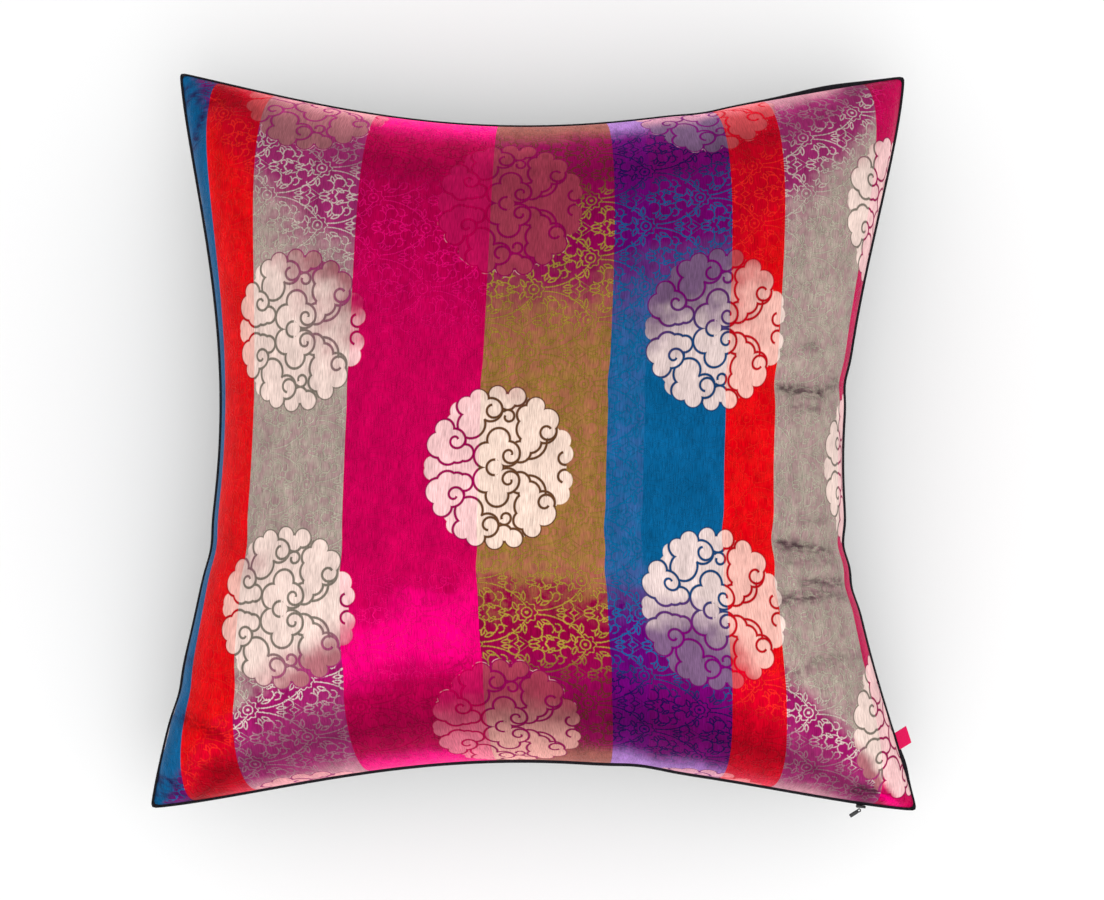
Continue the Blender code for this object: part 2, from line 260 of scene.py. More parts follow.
# Curls: the circle that each one leaves, its own radius, its drop in one turn, how much of a turn it
# makes, where it starts, and which way.
CURLS = (
    (5.5, 7.9, 7.4, 5.9, 4.9, 0.98, -20, -1), (-26.6, 15.6, 7.2, 5.7, 4.6, 0.95, 10, -1),
    (-5.2, 33.6, 6.8, 5.5, 3.6, 0.72, 0, -1), (27.3, 20.7, 6.8, 5.6, 3.4, 0.90, 0, -1),
    (5.4, 29.4, 4.4, 4.3, 2.4, 0.95, 140, -1), (39.4, 5.5, 4.4, 4.3, 1.4, 0.62, -30, -1),
)
# Arcs: middle, radius, the side that is kept, and how far across it begins.
ROUNDEL_ARCS = ((-2.0, 0, 4.5, 180, 0.2), (18.6, 14.8, 10.0, -45, 6.4))
ROUNDEL_STEP = (122.0, 154.0)
ROUNDEL_PLACE = (206.0, 208.0)
ROUNDEL_SCALE = 0.955
ROUNDEL_SIZE = (40.6, 44.4)
ROUNDEL_RADIUS = 42.0
ROUNDEL_LINE = 1.45
# The light on a roundel's rim: where it runs, how wide its fade is, per mm, its share of cream, and how
# far towards the crown from the roundel's middle it begins and is whole.
RIM_PLACE = 0.2
RIM_FADE = 2.5
RIM_CREAM = 0.6
RIM_SIDE = (-12.0, -22.0)

# The ground's scrolls in one quarter of its repeat, in mm. Leaves: middle, turn, length, width.
GROUND_STEP = (31.7, 18.15)
GROUND_ARCS = (
    (6.0, 32.0, 30.8, 0, 0.4), (4.6, 11.6, 3.6, 20, -1.4), (20.6, 13.6, 3.4, 150, -1.4),
    (23.2, 3.4, 3.0, 100, -1.6), (11.4, 9.4, 3.3, -70, -1.2), (26.0, 9.2, 2.6, -60, -0.6),
    (14.6, 19.4, 5.2, -100, 1.8),
)
GROUND_CURLS = ((16.6, 9.4, 3.0, 2.9, 1.9, 0.9, 250, 1), (8.6, 15.4, 2.6, 2.5, 1.8, 0.9, 80, -1))
LEAVES = (
    (10.4, 5.4, 24, 5.6, 2.3), (7.0, 7.4, 66, 5.0, 2.1), (3.0, 17.0, -6, 6.4, 2.6),
    (12.4, 14.4, 36, 4.8, 2.0), (25.2, 14.6, 64, 5.2, 2.2), (18.6, 17.0, -14, 5.2, 2.0),
    (19.4, 1.5, 6, 5.4, 2.0), (30.2, 8.8, 90, 5.6, 2.2),
)
LEAF_INSET = 0.1
# Rosettes: radius, petals and how deep they are cut, then the ring and the dot inside. Lozenges: place,
# how far they reach up the repeat, their slant, and the radius and step of the rings inside.
ROSETTE_RADIUS, PETALS, PETAL_DEPTH = 5.4, 8.0, 0.6
ROSETTE_RING, ROSETTE_DOT = 2.9, 0.6
LOZENGE_PLACE, LOZENGE_REACH, LOZENGE_SLANT = 26.6, 4.2, 0.72
LOZENGE_RING, LOZENGE_STEP = 1.9, 1.4
GROUND_LINE = 0.72

# The studio, in metres, and the camera's view of the middle of the cushion.
FLOOR_SIZE = 4
ROOM_LIGHT = 0.96
SOFTBOX_SIZE = 1.2
SOFTBOX_POWER = 6
SOFTBOX_PLACE = (0.2, -0.6, 1.5)
CAMERA_TARGET = Vector((0, 0, 0.08))
CAMERA_ELEVATION = math.radians(86.74)
CAMERA_AZIMUTH = math.radians(-4.4)
CAMERA_DISTANCE = 1.4
CAMERA_LENS = 78.7
CAMERA_SHIFT = (0.0164, -0.007)


def mix(column, s, t):
    """One column of the ears' table, blended over the cushion."""
    bottom = EARS["bottom_left"][column] * (1 - s) + EARS["bottom_right"][column] * s
    top = EARS["top_left"][column] * (1 - s) + EARS["top_right"][column] * s
    return (bottom * (1 - t) + top * t) * MM


def drawn_in(seam, along):
    """How far a seam lies inside the straight line between its ears; along runs from 0 to 1."""
    depth, lean, sharpness = SEAMS[seam]
    inward = depth * np.sin(np.pi * np.clip(along, 0, 1) ** lean) ** sharpness
    length = 2 * EARS["top_right"][0]
    for name, place, half_width, pucker in PUCKERS:
        if name == seam:
            away = ((along - 0.5) * length - place) / half_width
            inward = inward + pucker * np.exp(-away ** 2)
    return inward * MM


def cover_plan(u, v, outset):
    """The place seen from above, from the cover's own middle, of (u, v), each -1 to 1 between seams."""
    s, t = (u + 1) / 2, (v + 1) / 2
    x = mix(0, s, t) + outset * u
    x = x + drawn_in("left", t) * (1 - s) - drawn_in("right", t) * s
    y = mix(1, s, t) + outset * v
    y = y + drawn_in("bottom", s) * (1 - t) - drawn_in("top", s) * t
    return x, y


def cover_home():
    """Where the cover's own middle is, when its ears fill the CAD body's box evenly."""
    body_low, body_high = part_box("filled_cushion")
    ears = [cover_plan(np.float64(u), np.float64(v), LEDGE_WIDTH) for u in (-1, 1) for v in (-1, 1)]
    xs, ys = zip(*ears)
    return np.array((
        (body_low.x + body_high.x - min(xs) - max(xs)) / 2,
        (body_low.y + body_high.y - min(ys) - max(ys)) / 2,
    ))


HOME = cover_home()


def swell(u, v):
    """How full the cushion is at (u, v): 0 at the seams and 1 at the crown."""
    sunk = v + SETTLING * (1 - v ** 2)
    across = np.clip(1 - np.abs(u) ** ROUNDNESS, 0, 1)
    along = np.clip(1 - np.abs(sunk) ** ROUNDNESS, 0, 1)
    return (across * along) ** STEEPNESS


def filled_form(u, v, outset, base, crown):
    """A layer of the filled cover; crown is negative on the back."""
    x, y = cover_plan(u, v, outset)
    droop = mix(2, (u + 1) / 2, (v + 1) / 2) * np.abs(u * v) ** EAR_DROOP_POWER
    return np.stack((x + HOME[0], y + HOME[1], SEAM_HEIGHT - droop + base + crown * swell(u, v)), axis=-1)


def face_form(u, v):
    return filled_form(u, v, 0, PANEL_BASE, FRONT_CROWN)


def back_form(u, v):
    outset = LEDGE_WIDTH
    for seam, place, half_width, more in BACK_SHOWS:
        along, across = (u, v) if seam == "top" else (v, u)
        away = (along * EARS["top_right"][0] - place) / half_width
        outset = outset + more * MM * np.clip(across, 0, 1) ** BACK_SHOWS_POWER * np.exp(-away ** 2)
    return filled_form(u, v, outset, -SEAM_LEDGE, -BACK_CROWN)


def gathered(u, v):
    """Where the gathers in the top and bottom seams move the cloth's points sideways."""
    shift, drawn = (np.where(v > 0, above, below) for above, below in zip(GATHERS["top"], GATHERS["bottom"]))
    return u + (1 - u ** 2) * np.abs(v) ** GATHER_POWER * (shift * MM / (CUT / 2) - drawn * u)


def look_up(table, lines, u, v):
    """Values between the lines of a square table."""
    i = np.clip(np.searchsorted(lines, u) - 1, 0, len(lines) - 2)
    j = np.clip(np.searchsorted(lines, v) - 1, 0, len(lines) - 2)
    a = (u - lines[i]) / (lines[i + 1] - lines[i])
    b = (v - lines[j]) / (lines[j + 1] - lines[j])
    near = table[i, j] * (1 - a) + table[i + 1, j] * a
    far = table[i, j + 1] * (1 - a) + table[i + 1, j + 1] * a
    return near * (1 - b) + far * b


def spread_cloth(cloth_u, cloth_v, form):
    """Lay the flat cloth's points on a form so that its threads keep even lengths."""
    quarter = np.pi / 2
    turns = np.linspace(-quarter, quarter, FORM_LINES)
    points = form(*np.meshgrid(np.sin(turns), np.sin(turns), indexing="ij"))
    shares = []
    for axis in (0, 1):
        steps = np.linalg.norm(np.diff(points, axis=axis), axis=-1)
        total = np.insert(np.cumsum(steps, axis=axis), 0, 0, axis=axis)
        shares.append(2 * total / np.take(total, [-1], axis=axis) - 1)
    a, b = np.arcsin(cloth_u), np.arcsin(cloth_v)
    for _ in range(LAYING_ROUNDS):
        a = np.clip(a + cloth_u - look_up(shares[0], turns, a, b), -quarter, quarter)
        b = np.clip(b + cloth_v - look_up(shares[1], turns, a, b), -quarter, quarter)
    return form(np.sin(a), np.sin(b))


def read(values, name):
    flat = np.empty(len(values) * 3)
    values.foreach_get(name, flat)
    return flat.reshape(-1, 3)


def move_points(piece, points):
    piece.data.vertices.foreach_set("co", points.ravel())
    piece.data.update()


def select_only(*pieces):
    bpy.ops.object.select_all(action="DESELECT")
    for piece in pieces:
        piece.select_set(True)
    bpy.context.view_layer.objects.active = pieces[0]


def pick(parts, chosen):
    """Go into edit mode with only the chosen points or edges selected."""
    bpy.ops.object.mode_set(mode="EDIT")
    bpy.ops.mesh.select_all(action="DESELECT")
    bpy.ops.object.mode_set(mode="OBJECT")
    for part in parts:
        part.select = chosen(part)
    bpy.ops.object.mode_set(mode="EDIT")


def apply_modifier(piece, kind, **settings):
    """Add a modifier with its settings and apply it."""
    select_only(piece)
    bpy.ops.object.modifier_add(type=kind)
    modifier = piece.modifiers[-1]
    for name, value in settings.items():
        setattr(modifier, name, value)
    bpy.ops.object.modifier_apply(modifier=modifier.name)


def cut_panel(name, form):
    """A square of cloth laid on the filled form, its flat shape kept for the simulation."""
    bpy.ops.object.select_all(action="DESELECT")
    bpy.ops.mesh.primitive_grid_add(x_subdivisions=CELLS, y_subdivisions=CELLS, size=CUT)
    panel = bpy.context.object
    panel.name = name
    flat = read(panel.data.vertices, "co")
    half = CUT / 2
    flat[:, 0] = half * gathered(flat[:, 0] / half, flat[:, 1] / half)
    worn = spread_cloth(flat[:, 0] / half, flat[:, 1] / half, form)
    panel.data.vertices.foreach_set("co", worn.ravel())
    panel.shape_key_add(name="worn")
    panel.shape_key_add(name="cut").data.foreach_set("co", (flat * CLOTH_EASE).ravel())
    rim = np.flatnonzero(np.abs(flat[:, :2]).max(axis=1) > half - 0.1 * MM).tolist()
    panel.vertex_groups.new(name="seam").add(rim, 1.0, "REPLACE")
    return panel


def fill_out(panel):
    """Press the filling against a panel that is held at its seams, and keep the result."""
    start = read(panel.data.vertices, "co")
    cut = panel.data.shape_keys.key_blocks["cut"]
    flat = read(cut.data, "co") / CLOTH_EASE
    cloth = panel.modifiers.new("filling", "CLOTH")
    for name, value in CLOTH.items():
        setattr(cloth.settings, name, value)
    cloth.settings.rest_shape_key = cut
    cloth.settings.effector_weights.gravity = 0
    cloth.collision_settings.use_collision = False
    cloth.point_cache.frame_end = FRAMES
    for frame_number in range(1, FRAMES + 1):
        bpy.context.scene.frame_set(frame_number)
    filled = panel.evaluated_get(bpy.context.evaluated_depsgraph_get())
    moved = read(filled.data.vertices, "co") - start
    panel.modifiers.remove(cloth)
    bpy.context.scene.frame_set(1)
    panel.shape_key_clear()
    share = np.clip((CUT / 2 - np.abs(flat[:, :2]).max(axis=1)) / SEAM_REACH, 0, 1)
    moved *= (share ** 2 * (3 - 2 * share))[:, None]
    length = np.linalg.norm(moved, axis=1)
    moved *= np.minimum(1, FURTHEST / np.maximum(length, 1e-9))[:, None]
    move_points(panel, start + moved)


def press_folds(panel):
    """Press creases down into the face, gone on its steep sides; gives how dark the painted shade of the
    creases makes each point.
    """
    points = read(panel.data.vertices, "co")
    level = read(panel.data.vertices, "normal")[:, 2]
    crease_shading = np.zeros(len(points))
    for x0, y0, x1, y1, half_width, deep, shade_strength in FOLDS:
        begin = np.array((x0, y0)) * MM + HOME
        run = np.array((x1 - x0, y1 - y0)) * MM
        share = np.clip((points[:, :2] - begin) @ run / (run @ run), 0, 1)
        away = np.linalg.norm(points[:, :2] - begin - share[:, None] * run, axis=1)
        points[:, 2] -= deep * MM * level * np.exp(-(away / (half_width * MM)) ** 2)
        crease_shading = np.maximum(crease_shading, shade_strength * np.exp(-(away / (CREASE_SHADE_WIDTH * half_width * MM)) ** 2))
    move_points(panel, points)
    return crease_shading


def filling_under(face):
    """A copy of the face a little further in: the surface of the pad that carries the brocade."""
    select_only(face)
    bpy.ops.object.duplicate()
    filling = bpy.context.object
    press_folds(filling)
    points = read(filling.data.vertices, "co")
    move_points(filling, points - read(filling.data.vertices, "normal") * UNDER_PANEL)
    return filling


def finish_face(face):
    """Crease the face, note its slope, by which its colours and their painted sheen and shade change, and
    the painted shade of its creases, and give the cloth its thickness.
    """
    apply_modifier(face, "SUBSURF", levels=1)
    broad = read(face.data.vertices, "normal")
    crease_shading = press_folds(face)
    creased = read(face.data.vertices, "normal")
    lean = broad[:, 1] * (1 - CREASE_SHARE) + creased[:, 1] * CREASE_SHARE
    lean *= (1 - broad[:, 0] ** 2) ** SIDE_CALM
    points = read(face.data.vertices, "co")[:, :2] - HOME
    for ear_x, ear_y, _ in EARS.values():
        away = np.linalg.norm(points - (ear_x * MM, ear_y * MM), axis=1)
        lean *= 1 - EAR_CALM * np.exp(-(away / EAR_REACH) ** 2)
    for name, values in (("lean", lean), ("crease_shade", crease_shading)):
        face.data.attributes.new(name, "FLOAT", "POINT").data.foreach_set("value", values)
    apply_modifier(face, "SOLIDIFY", thickness=PANEL_THICKNESS, offset=-1)


def black_back(filling):
    """The back panel, flat where it lies, turned up round the seam and closed with the filling."""
    back = cut_panel("black_back", back_form)
    select_only(back)
    bpy.ops.object.mode_set(mode="EDIT")
    bpy.ops.mesh.select_all(action="SELECT")
    bpy.ops.mesh.flip_normals()
    bpy.ops.object.mode_set(mode="OBJECT")
    fill_out(back)
    points = read(back.data.vertices, "co")
    points[:, 2] = np.maximum(points[:, 2], 0)
    move_points(back, points)

    select_only(back)
    bpy.ops.object.mode_set(mode="EDIT")
    bpy.ops.mesh.select_all(action="DESELECT")
    bpy.ops.mesh.select_non_manifold(extend=False)
    bpy.ops.mesh.extrude_edges_move(TRANSFORM_OT_translate={"value": (0, 0, 2 * SEAM_LEDGE)})
    bpy.ops.object.mode_set(mode="OBJECT")
    select_only(back, filling)
    bpy.ops.object.join()
    bpy.ops.object.mode_set(mode="EDIT")
    bpy.ops.mesh.select_all(action="DESELECT")
    bpy.ops.mesh.select_non_manifold(extend=False)
    bpy.ops.mesh.bridge_edge_loops()
    bpy.ops.mesh.select_all(action="SELECT")
    bpy.ops.mesh.normals_make_consistent(inside=False)
    bpy.ops.object.mode_set(mode="OBJECT")
    apply_modifier(back, "SUBSURF", levels=1)
    return back


def seam_spot(seam, along):
    """A point on the outside of the right or the bottom seam, and the heading out of it."""
    def spot(share):
        travel = share * 2 - 1
        u, v = (1.0, travel) if seam == "right" else (travel, -1.0)
        x, y = cover_plan(np.float64(u), np.float64(v), LEDGE_WIDTH)
        droop = mix(2, (u + 1) / 2, (v + 1) / 2) * abs(u * v) ** EAR_DROOP_POWER
        return np.array((x + HOME[0], y + HOME[1], SEAM_HEIGHT - droop))

    run = spot(along + 0.004) - spot(along - 0.004)
    return spot(along), math.atan2(-run[0], run[1])


def aside(heading, distance):
    """A level step in a heading; distance in mm."""
    return distance * MM * np.array((math.cos(heading), math.sin(heading), 0))


def settle(piece, spot, turn):
    """Move and turn a finished piece to its place, and leave its origin at the frame's."""
    select_only(piece)
    piece.location = spot
    piece.rotation_euler = (0, 0, turn)
    bpy.ops.object.transform_apply(location=True, rotation=True, scale=True)
    bpy.ops.object.shade_smooth()


def block(name, size, place, rounding):
    """A block with rounded edges; size, place and rounding in mm."""
    bpy.ops.object.select_all(action="DESELECT")
    bpy.ops.mesh.primitive_cube_add(size=1, location=[n * MM for n in place])
    piece = bpy.context.object
    piece.name = name
    piece.scale = [n * MM for n in size]
    bpy.ops.object.transform_apply(location=True, rotation=True, scale=True)
    apply_modifier(piece, "BEVEL", width=rounding * MM, segments=3)
    return piece


def folded_label():
    """A strip of tape run out of the seam, folded over and run back."""
    start, width, out_of_seam = LABEL_START
    bpy.ops.object.select_all(action="DESELECT")
    bpy.ops.mesh.primitive_plane_add(size=1)
    label = bpy.context.object
    label.name = "crimson_label"
    label.scale = (start * MM, width * MM, 1)
    bpy.ops.object.transform_apply(location=True, rotation=True, scale=True)
    points = label.data.vertices
    pick(label.data.edges, lambda edge: all(points[i].co.x > 0 for i in edge.vertices))
    for outward, upward in LABEL_STEPS:
        step = (outward * MM, outward * LABEL_RISE * MM, upward * MM)
        bpy.ops.mesh.extrude_edges_move(TRANSFORM_OT_translate={"value": step})
    bpy.ops.object.mode_set(mode="OBJECT")
    apply_modifier(label, "SOLIDIFY", thickness=TAPE_THICKNESS * MM, offset=0)
    apply_modifier(label, "BEVEL", width=TAPE_EDGE * MM, segments=2)
    apply_modifier(label, "SUBSURF", levels=1)
    spot, heading = seam_spot("right", LABEL_PLACE)
    settle(label, spot + aside(heading, out_of_seam), heading)
    return label


def zip_slider(spot, heading):
    """The slider, narrowed at its nose, with the bridge that carries the pull."""
    nose, narrowing = SLIDER_NOSE
    slider = block("black_slider", *SLIDER)
    pick(slider.data.vertices, lambda point: point.co.x > nose * MM)
    bpy.ops.transform.resize(value=(1, narrowing, 1))
    bpy.ops.object.mode_set(mode="OBJECT")
    select_only(slider, block("bridge", *BRIDGE))
    bpy.ops.object.join()
    settle(slider, spot + aside(heading, SLIDER[0][1] / 2 - SEAM_TUCK), heading + math.pi / 2)
    return slider


def zip_pull(spot, heading):
    """The pull, a rounded tongue with an eye at the slider's end, hanging at a slant."""
    eye_place, eye_radius, eye_wire = PULL_EYE
    pull = block("black_pull", *PULL)
    bpy.ops.mesh.primitive_torus_add(
        major_radius=eye_radius * MM, minor_radius=eye_wire * MM, major_segments=24, minor_segments=8,
        location=(eye_place * MM, 0, 0),
    )
    select_only(pull, bpy.context.object)
    bpy.ops.object.join()
    settle(pull, spot + aside(heading, SLIDER[0][1] - SEAM_TUCK + PULL_STEP), PULL_TURN)
    return pull


def linear(code):
    """An sRGB hex colour as the linear RGBA that a shader takes."""
    shares = [int(code[i:i + 2], 16) / 255 for i in (0, 2, 4)]
    return [n / 12.92 if n <= 0.04045 else ((n + 0.055) / 1.055) ** 2.4 for n in shares] + [1.0]


def feed(tree, node, inputs):
    """Give sockets of a node a value each, or link them to a node or a socket."""
    for socket, value in inputs.items():
        if isinstance(value, bpy.types.Node):
            value = value.outputs[0]
        if isinstance(value, bpy.types.NodeSocket):
            tree.links.new(value, node.inputs[socket])
        else:
            node.inputs[socket].default_value = value


def add(tree, kind, inputs, **settings):
    """Add a node with its settings, and feed it."""
    made = tree.nodes.new(kind)
    for name, value in settings.items():
        setattr(made, name, value)
    feed(tree, made, inputs)
    return made


MATH, VECTOR, MIX = "ShaderNodeMath", "ShaderNodeVectorMath", "ShaderNodeMix"
NOISE, RANGE, BUMP = "ShaderNodeTexNoise", "ShaderNodeMapRange", "ShaderNodeBump"
RAMP, PARTS = "ShaderNodeValToRGB", "ShaderNodeSeparateXYZ"


def begin_material(name):
    """A material to which nodes can be added, with its tree and its shader."""
    material = bpy.data.materials.new(name)
    material.use_nodes = True
    return material, material.node_tree, material.node_tree.nodes["Principled BSDF"]


def flat_cloth(tree):
    """The place on a panel laid flat, in mm from its bottom left corner."""
    return add(tree, VECTOR, {0: add(tree, "ShaderNodeUVMap", {}), "Scale": CUT / MM}, operation="SCALE")


def bands(tree, place, spacing, axis, distortion=0.0):
    """Even bands across an axis, at a spacing in mm; the node's own lie tau / 20 apart."""
    inputs = {"Vector": place, "Scale": math.tau / 20 / spacing, "Distortion": distortion}
    return add(tree, "ShaderNodeTexWave", inputs, bands_direction=axis)


def piece_place(tree):
    """The place on a small piece, in mm."""
    place = add(tree, "ShaderNodeTexCoord", {}).outputs["Object"]
    return add(tree, VECTOR, {0: place, "Scale": 1 / MM}, operation="SCALE")


def ranged(tree, value, limits, ease="LINEAR"):
    """A value brought from the limits that it has to those that it gets, or to 0 and 1."""
    inputs = {0: value, **dict(enumerate(limits, start=1))}
    return add(tree, RANGE, inputs, interpolation_type=ease)


def streaked(tree, cloth, size, detail):
    """Noise with the size of its streaks across and down the cloth, in mm."""
    place = add(tree, VECTOR, {0: cloth, 1: (1 / size[0], 1 / size[1], 0)}, operation="MULTIPLY")
    return add(tree, NOISE, {"Vector": place, "Scale": 1.0, "Detail": detail})


def off_line(tree, distance, line):
    """How far a place at some distance lies from the line at another."""
    off = add(tree, MATH, {0: distance, 1: line}, operation="SUBTRACT")
    return add(tree, MATH, {0: off}, operation="ABSOLUTE")


def combined(tree, values, operation):
    """Many values taken together by one operation, such as the nearest of several lines."""
    whole = values[0]
    for value in values[1:]:
        whole = add(tree, MATH, {0: whole, 1: value}, operation=operation)
    return whole


def woven(tree, distance, width=0.0):
    """1 on a woven line of some width, or inside an outline, and 0 off it."""
    middle = 0.5 + EDGE_TURN * width / 2
    return add(tree, MATH, {0: distance, 1: -EDGE_TURN, 2: middle}, operation="MULTIPLY_ADD", use_clamp=True)


def heap(tree, place, circles):
    """How far a place lies outside a heap of circles."""
    edges = []
    for x, y, radius in circles:
        away = add(tree, VECTOR, {0: place, 1: (x, y, 0)}, operation="DISTANCE").outputs["Value"]
        edges.append(add(tree, MATH, {0: away, 1: radius}, operation="SUBTRACT"))
    return combined(tree, edges, "MINIMUM")


def arc(tree, place, x, y, radius, side, begin):
    """How far a place lies from part of a circle."""
    offset = add(tree, VECTOR, {0: place, 1: (x, y, 0)}, operation="SUBTRACT")
    away = add(tree, VECTOR, {0: offset}, operation="LENGTH").outputs["Value"]
    heading = (math.cos(math.radians(side)), math.sin(math.radians(side)), 0)
    kept = add(tree, VECTOR, {0: offset, 1: heading}, operation="DOT_PRODUCT").outputs["Value"]
    kept = add(tree, MATH, {0: begin, 1: kept}, operation="SUBTRACT")
    return combined(tree, (off_line(tree, away, radius), kept), "MAXIMUM")


def curl(tree, place, x, y, outer, radius, drop, turns, start, way):
    """How far a place lies from a line that leaves a circle and winds inwards."""
    heading = math.radians(start)
    x, y = x + (outer - radius) * math.cos(heading), y + (outer - radius) * math.sin(heading)
    offset = add(tree, VECTOR, {0: place, 1: (x, y, 0)}, operation="SUBTRACT")
    parts = add(tree, PARTS, {0: offset})
    angle = add(tree, MATH, {0: parts.outputs["Y"], 1: parts.outputs["X"]}, operation="ARCTAN2")
    turn = add(tree, MATH, {0: angle, 1: way / math.tau, 2: -way * start / 360}, operation="MULTIPLY_ADD")
    turn = add(tree, MATH, {0: turn}, operation="FRACT")
    away = add(tree, VECTOR, {0: offset}, operation="LENGTH").outputs["Value"]
    line = add(tree, MATH, {0: turn, 1: drop, 2: away}, operation="MULTIPLY_ADD")
    line = off_line(tree, line, radius)
    ended = add(tree, MATH, {0: turn, 1: turns}, operation="GREATER_THAN")
    far_off = 9.0
    return add(tree, MATH, {0: ended, 1: far_off, 2: line}, operation="MULTIPLY_ADD")


def leaf(tree, place, x, y, turn, length, width):
    """How far a place lies from a pointed leaf, the overlap of two circles."""
    radius = (length ** 2 + width ** 2) / (4 * width)
    heading = math.radians(turn + 90)
    reach = radius - width / 2
    sides = []
    for sign in (1, -1):
        middle = (x + sign * reach * math.cos(heading), y + sign * reach * math.sin(heading), 0)
        away = add(tree, VECTOR, {0: place, 1: middle}, operation="DISTANCE").outputs["Value"]
        sides.append(add(tree, MATH, {0: away, 1: radius}, operation="SUBTRACT"))
    return off_line(tree, combined(tree, sides, "MAXIMUM"), -LEAF_INSET)


def rosette(tree, across, place):
    """How far a place lies from the rosettes that stand at two opposite corners of the quarter."""
    far = add(tree, VECTOR, {0: place, 1: (*GROUND_STEP, 0)}, operation="SUBTRACT")
    second = add(tree, MATH, {0: across, 1: GROUND_STEP[0] / 2}, operation="GREATER_THAN")
    nearer = add(tree, MIX, {0: second, 4: place, 5: far}, data_type="VECTOR").outputs[1]
    spoke = add(tree, PARTS, {0: nearer})
    angle = add(tree, MATH, {0: spoke.outputs["Y"], 1: spoke.outputs["X"]}, operation="ARCTAN2")
    petals = add(tree, MATH, {0: angle, 1: PETALS}, operation="MULTIPLY")
    petals = add(tree, MATH, {0: petals}, operation="COSINE")
    away = add(tree, VECTOR, {0: nearer}, operation="LENGTH").outputs["Value"]
    petals = add(tree, MATH, {0: petals, 1: -PETAL_DEPTH, 2: away}, operation="MULTIPLY_ADD")
    dot = add(tree, MATH, {0: away, 1: ROSETTE_DOT}, operation="SUBTRACT")
    lines = (off_line(tree, petals, ROSETTE_RADIUS), off_line(tree, away, ROSETTE_RING), dot)
    return combined(tree, lines, "MINIMUM")


def lozenge(tree, across, along):
    """How far a place lies from the lozenge, ringed inside, that closes the gap between two arcs."""
    wide = off_line(tree, across, LOZENGE_PLACE)
    reach = add(tree, MATH, {0: wide, 1: LOZENGE_SLANT, 2: along}, operation="MULTIPLY_ADD")
    rings = add(tree, MATH, {0: reach, 1: LOZENGE_RING}, operation="SUBTRACT")
    rings = add(tree, MATH, {0: rings, 1: LOZENGE_STEP}, operation="PINGPONG")
    outside = add(tree, MATH, {0: reach, 1: LOZENGE_REACH}, operation="SUBTRACT")
    return combined(tree, (outside, rings), "MAXIMUM")


def ground_figure(tree, cloth, x, y):
    """Where the ground's scrolls are: half a repeat further on, the pattern is the same upside down."""
    column = add(tree, MATH, {0: x, 1: 1 / GROUND_STEP[0]}, operation="MULTIPLY")
    column = add(tree, MATH, {0: column}, operation="FLOOR")
    odd = add(tree, MATH, {0: column, 1: 1.0}, operation="PINGPONG")
    across = add(tree, MATH, {0: column, 1: -GROUND_STEP[0], 2: x}, operation="MULTIPLY_ADD")
    along = add(tree, MATH, {0: y, 1: GROUND_STEP[1]}, operation="PINGPONG")
    along = add(tree, MATH, {0: odd, 1: -GROUND_STEP[1], 2: along}, operation="MULTIPLY_ADD")
    along = add(tree, MATH, {0: along}, operation="ABSOLUTE")
    place = add(tree, "ShaderNodeCombineXYZ", {0: across, 1: along})

    lines = [rosette(tree, across, place), lozenge(tree, across, along)]
    lines += [arc(tree, place, *each) for each in GROUND_ARCS]
    lines += [curl(tree, place, *each) for each in GROUND_CURLS]
    lines += [leaf(tree, place, *each) for each in LEAVES]
    scroll = combined(tree, lines, "MINIMUM")
    worn = add(tree, NOISE, {"Vector": cloth, "Scale": 1 / WEAR_PATCH, "Detail": 1.0})
    scroll = add(tree, MATH, {0: worn, 1: WEAR_STRENGTH, 2: scroll}, operation="MULTIPLY_ADD")
    scroll = add(tree, MATH, {0: scroll, 1: WEAR_STRENGTH / 2}, operation="SUBTRACT")
    return woven(tree, scroll, GROUND_LINE)


def roundel_place(tree, x, y):
    """The place from the middle of the nearest roundel, every second column half a step higher."""
    step_x, step_y = ROUNDEL_STEP
    row_x = add(tree, MATH, {0: x, 1: ROUNDEL_PLACE[0]}, operation="SUBTRACT")
    column = add(tree, MATH, {0: row_x, 1: 1 / step_x}, operation="MULTIPLY")
    column = add(tree, MATH, {0: column}, operation="ROUND")
    odd = add(tree, MATH, {0: column, 1: 1.0}, operation="PINGPONG")
    across = add(tree, MATH, {0: column, 1: -step_x, 2: row_x}, operation="MULTIPLY_ADD")
    along = add(tree, MATH, {0: odd, 1: -step_y / 2, 2: y}, operation="MULTIPLY_ADD")
    along = add(tree, MATH, {0: along, 1: ROUNDEL_PLACE[1]}, operation="SUBTRACT")
    along = add(tree, MATH, {0: along, 1: -step_y / 2, 2: step_y / 2}, operation="WRAP")
    return across, along


def roundel_drawing(tree, across, along):
    """How far a place lies outside a roundel, and how far from the lines drawn inside it."""
    mirrored = add(tree, MATH, {0: along}, operation="ABSOLUTE")
    place = add(tree, "ShaderNodeCombineXYZ", {0: across, 1: mirrored})
    place = add(tree, VECTOR, {0: place, "Scale": 1 / ROUNDEL_SCALE}, operation="SCALE")
    wide, high = ROUNDEL_SIZE
    stretched = add(tree, VECTOR, {0: place, 1: (1 / wide, 1 / high, 0)}, operation="MULTIPLY")
    stretched = add(tree, VECTOR, {0: stretched}, operation="LENGTH").outputs["Value"]
    inputs = {0: stretched, 1: ROUNDEL_RADIUS, 2: -ROUNDEL_RADIUS}
    oval = add(tree, MATH, inputs, operation="MULTIPLY_ADD")

    above, lines = None, []
    for circles in CLOUDS:
        cloud = heap(tree, place, circles)
        outline = add(tree, MATH, {0: cloud}, operation="ABSOLUTE")
        if above:
            covered = add(tree, MATH, {0: above, 1: -1.0}, operation="MULTIPLY")
            outline = combined(tree, (outline, covered), "MAXIMUM")
        lines.append(outline)
        above = combined(tree, (above, cloud), "MINIMUM") if above else cloud
    lines += [curl(tree, place, *each) for each in CURLS]
    lines += [arc(tree, place, *each) for each in ROUNDEL_ARCS]
    shape = combined(tree, (oval, above, heap(tree, place, RIM_LOBES)), "MINIMUM")
    return shape, combined(tree, lines, "MINIMUM")


